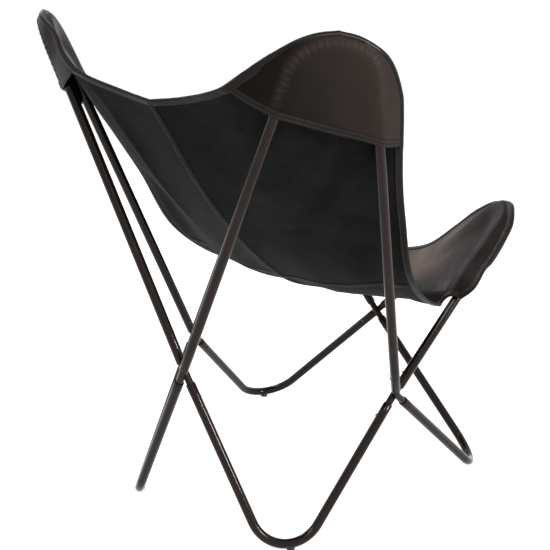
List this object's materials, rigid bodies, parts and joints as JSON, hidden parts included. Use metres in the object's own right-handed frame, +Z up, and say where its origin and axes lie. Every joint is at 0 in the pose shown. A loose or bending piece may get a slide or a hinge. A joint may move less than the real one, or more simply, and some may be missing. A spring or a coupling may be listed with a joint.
{
  "type": "butterfly sling chair",
  "caption": "Low lounge chair: a bucket-shaped leather sling hung by corner pockets on a knock-down frame of bent steel tubes joined by crosses with spring buttons.",
  "frame": {"origin": "on the floor, in the middle of the chair's bounding box", "axes": "+Z up, the chair faces -Y, +X is the sitter's left"},
  "size_m": [0.6668, 0.7306, 0.8576],
  "materials": {
    "tube": "satin black powder coat",
    "cross": "satin black powder coat",
    "button": "blackened spring steel",
    "glide": "moulded",
    "panel": "smooth grain inside, suede underside",
    "pocket": "smooth grain",
    "strip": "smooth grain"
  },
  "bodies": {
    "chair": {"tube_top_back_left": "tube", "tube_top_back_right": "tube", "tube_top_front_left": "tube", "tube_top_front_right": "tube", "tube_foot_back_left": "tube", "tube_foot_back_right": "tube", "tube_foot_front_left": "tube", "tube_foot_front_right": "tube", "cross_back": "cross", "cross_front": "cross", "cross_left": "cross", "cross_right": "cross", "glide_foot_back_left": "glide", "glide_foot_back_right": "glide", "glide_foot_front_left": "glide", "glide_foot_front_right": "glide", "sling_back_left": "panel", "sling_seat_left": "panel", "pocket_back_left": "pocket", "pocket_front_left": "pocket", "strip_back_left": "strip", "strip_side_left": "strip", "strip_front_left": "strip", "sling_back_right": "panel", "sling_seat_right": "panel", "pocket_back_right": "pocket", "pocket_front_right": "pocket", "strip_back_right": "strip", "strip_side_right": "strip", "strip_front_right": "strip"},
    "button_top_back_left_at_back": {"button_top_back_left_at_back": "button"},
    "button_top_back_left_at_left": {"button_top_back_left_at_left": "button"},
    "button_top_back_right_at_back": {"button_top_back_right_at_back": "button"},
    "button_top_back_right_at_right": {"button_top_back_right_at_right": "button"},
    "button_top_front_left_at_front": {"button_top_front_left_at_front": "button"},
    "button_top_front_left_at_left": {"button_top_front_left_at_left": "button"},
    "button_top_front_right_at_front": {"button_top_front_right_at_front": "button"},
    "button_top_front_right_at_right": {"button_top_front_right_at_right": "button"},
    "button_foot_back_left_at_back": {"button_foot_back_left_at_back": "button"},
    "button_foot_back_left_at_left": {"button_foot_back_left_at_left": "button"},
    "button_foot_back_right_at_back": {"button_foot_back_right_at_back": "button"},
    "button_foot_back_right_at_right": {"button_foot_back_right_at_right": "button"},
    "button_foot_front_left_at_front": {"button_foot_front_left_at_front": "button"},
    "button_foot_front_left_at_left": {"button_foot_front_left_at_left": "button"},
    "button_foot_front_right_at_front": {"button_foot_front_right_at_front": "button"},
    "button_foot_front_right_at_right": {"button_foot_front_right_at_right": "button"}
  },
  "joints": [
    {"name": "press_top_back_left_at_back", "type": "slide", "parent": "chair", "child": "button_top_back_left_at_back", "axis": [-0.03, 0.9974, -0.0656], "range_m": [0, 0.0038], "stiffness_N_per_m": 800, "springref_m": -0.001},
    {"name": "press_top_back_left_at_left", "type": "slide", "parent": "chair", "child": "button_top_back_left_at_left", "axis": [0.9899, -0.0525, -0.1314], "range_m": [0, 0.0038], "stiffness_N_per_m": 800, "springref_m": -0.001},
    {"name": "press_top_back_right_at_back", "type": "slide", "parent": "chair", "child": "button_top_back_right_at_back", "axis": [0.0239, 0.9984, -0.0518], "range_m": [0, 0.0038], "stiffness_N_per_m": 800, "springref_m": -0.001},
    {"name": "press_top_back_right_at_right", "type": "slide", "parent": "chair", "child": "button_top_back_right_at_right", "axis": [-0.9918, -0.0477, -0.1184], "range_m": [0, 0.0038], "stiffness_N_per_m": 800, "springref_m": -0.001},
    {"name": "press_top_front_left_at_front", "type": "slide", "parent": "chair", "child": "button_top_front_left_at_front", "axis": [-0.0551, -0.9968, -0.0575], "range_m": [0, 0.0038], "stiffness_N_per_m": 800, "springref_m": -0.001},
    {"name": "press_top_front_left_at_left", "type": "slide", "parent": "chair", "child": "button_top_front_left_at_left", "axis": [0.9874, 0.1092, -0.1143], "range_m": [0, 0.0038], "stiffness_N_per_m": 800, "springref_m": -0.001},
    {"name": "press_top_front_right_at_front", "type": "slide", "parent": "chair", "child": "button_top_front_right_at_front", "axis": [0.0389, -0.9984, -0.0405], "range_m": [0, 0.0038], "stiffness_N_per_m": 800, "springref_m": -0.001},
    {"name": "press_top_front_right_at_right", "type": "slide", "parent": "chair", "child": "button_top_front_right_at_right", "axis": [-0.9843, 0.1221, -0.1277], "range_m": [0, 0.0038], "stiffness_N_per_m": 800, "springref_m": -0.001},
    {"name": "press_foot_back_left_at_back", "type": "slide", "parent": "chair", "child": "button_foot_back_left_at_back", "axis": [0.0493, 0.9942, -0.0952], "range_m": [0, 0.0038], "stiffness_N_per_m": 800, "springref_m": -0.001},
    {"name": "press_foot_back_left_at_left", "type": "slide", "parent": "chair", "child": "button_foot_back_left_at_left", "axis": [0.9869, 0.1112, -0.1173], "range_m": [0, 0.0038], "stiffness_N_per_m": 800, "springref_m": -0.001},
    {"name": "press_foot_back_right_at_back", "type": "slide", "parent": "chair", "child": "button_foot_back_right_at_back", "axis": [-0.0365, 0.9968, -0.0715], "range_m": [0, 0.0038], "stiffness_N_per_m": 800, "springref_m": -0.001},
    {"name": "press_foot_back_right_at_right", "type": "slide", "parent": "chair", "child": "button_foot_back_right_at_right", "axis": [-0.991, 0.0911, -0.0979], "range_m": [0, 0.0038], "stiffness_N_per_m": 800, "springref_m": -0.001},
    {"name": "press_foot_front_left_at_front", "type": "slide", "parent": "chair", "child": "button_foot_front_left_at_front", "axis": [0.0524, -0.9972, -0.0529], "range_m": [0, 0.0038], "stiffness_N_per_m": 800, "springref_m": -0.001},
    {"name": "press_foot_front_left_at_left", "type": "slide", "parent": "chair", "child": "button_foot_front_left_at_left", "axis": [0.989, 0.1079, 0.1009], "range_m": [0, 0.0038], "stiffness_N_per_m": 800, "springref_m": -0.001},
    {"name": "press_foot_front_right_at_front", "type": "slide", "parent": "chair", "child": "button_foot_front_right_at_front", "axis": [-0.0349, -0.9988, -0.0353], "range_m": [0, 0.0038], "stiffness_N_per_m": 800, "springref_m": -0.001},
    {"name": "press_foot_front_right_at_right", "type": "slide", "parent": "chair", "child": "button_foot_front_right_at_right", "axis": [-0.9924, 0.0896, 0.084], "range_m": [0, 0.0038], "stiffness_N_per_m": 800, "springref_m": -0.001}
  ]
}
